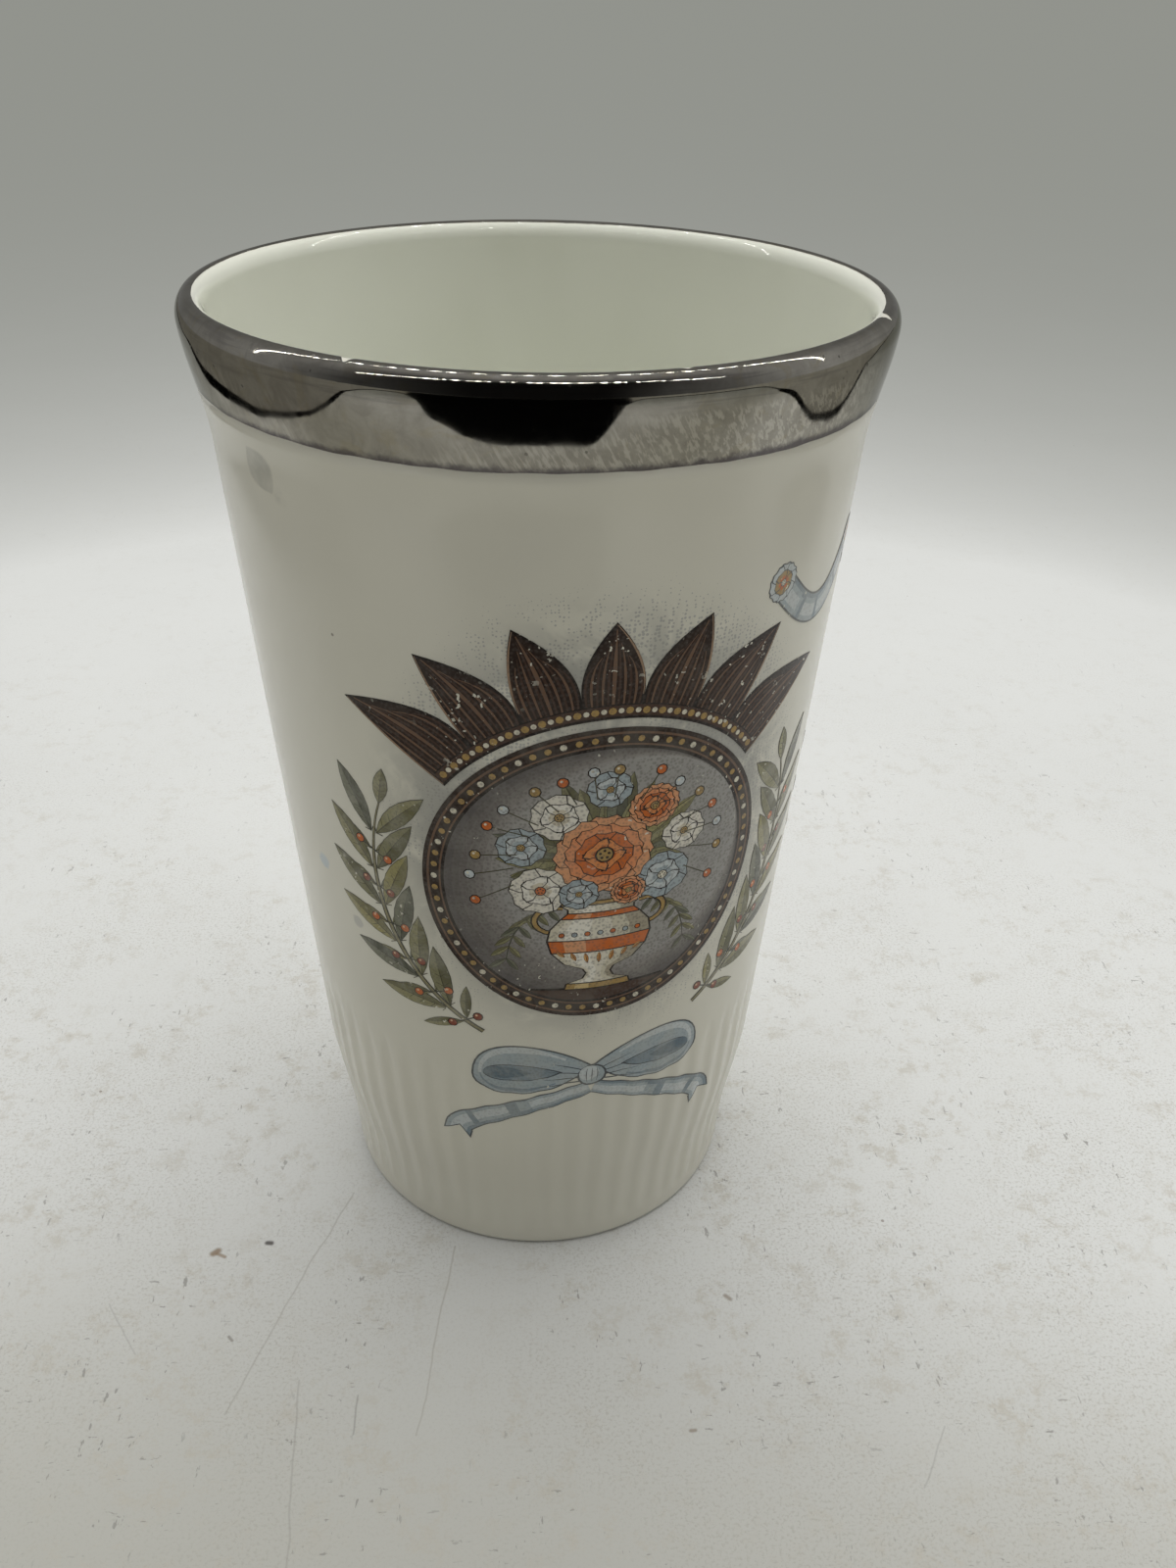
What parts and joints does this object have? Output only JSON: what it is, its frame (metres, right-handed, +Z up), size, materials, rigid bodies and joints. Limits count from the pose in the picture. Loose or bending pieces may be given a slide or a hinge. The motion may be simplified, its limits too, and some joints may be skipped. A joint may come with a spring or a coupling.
{
  "type": "porcelain tumbler",
  "caption": "Tall tapered porcelain tumbler without a handle: open cylindrical cavity, metal lustre band over the lip, fluted lower wall, ring foot and a coloured print fired onto the glaze.",
  "frame": {"origin": "on the table, in the middle of the foot ring", "axes": "+Z up along the cup's axis, -Y towards the front of the print, +X to the right of it"},
  "size_m": [0.0722, 0.0722, 0.114],
  "materials": {
    "porcelain": "clear gloss glaze over warm white porcelain, bare on the foot ring",
    "lustre": "mirror-like silver-grey metal lustre, finely scratched and worn at the lip",
    "enamel_picture": "glossy printed enamel, grey ground with a coloured picture",
    "enamel_brown": "glossy dark brown printed enamel",
    "enamel_green": "glossy grey-green printed enamel",
    "enamel_blue": "glossy pale blue-grey printed enamel"
  },
  "bodies": {
    "root": {"cup_body": "porcelain", "rim_band": "lustre", "front_medallion": "enamel_picture", "front_crest": "enamel_brown", "front_left_spray": "enamel_green", "front_right_spray": "enamel_green", "front_bow": "enamel_blue", "side_medallion": "enamel_picture", "side_crest": "enamel_brown", "side_left_spray": "enamel_green", "side_right_spray": "enamel_green", "side_bow": "enamel_blue", "ribbon_swag": "enamel_blue"}
  },
  "joints": []
}
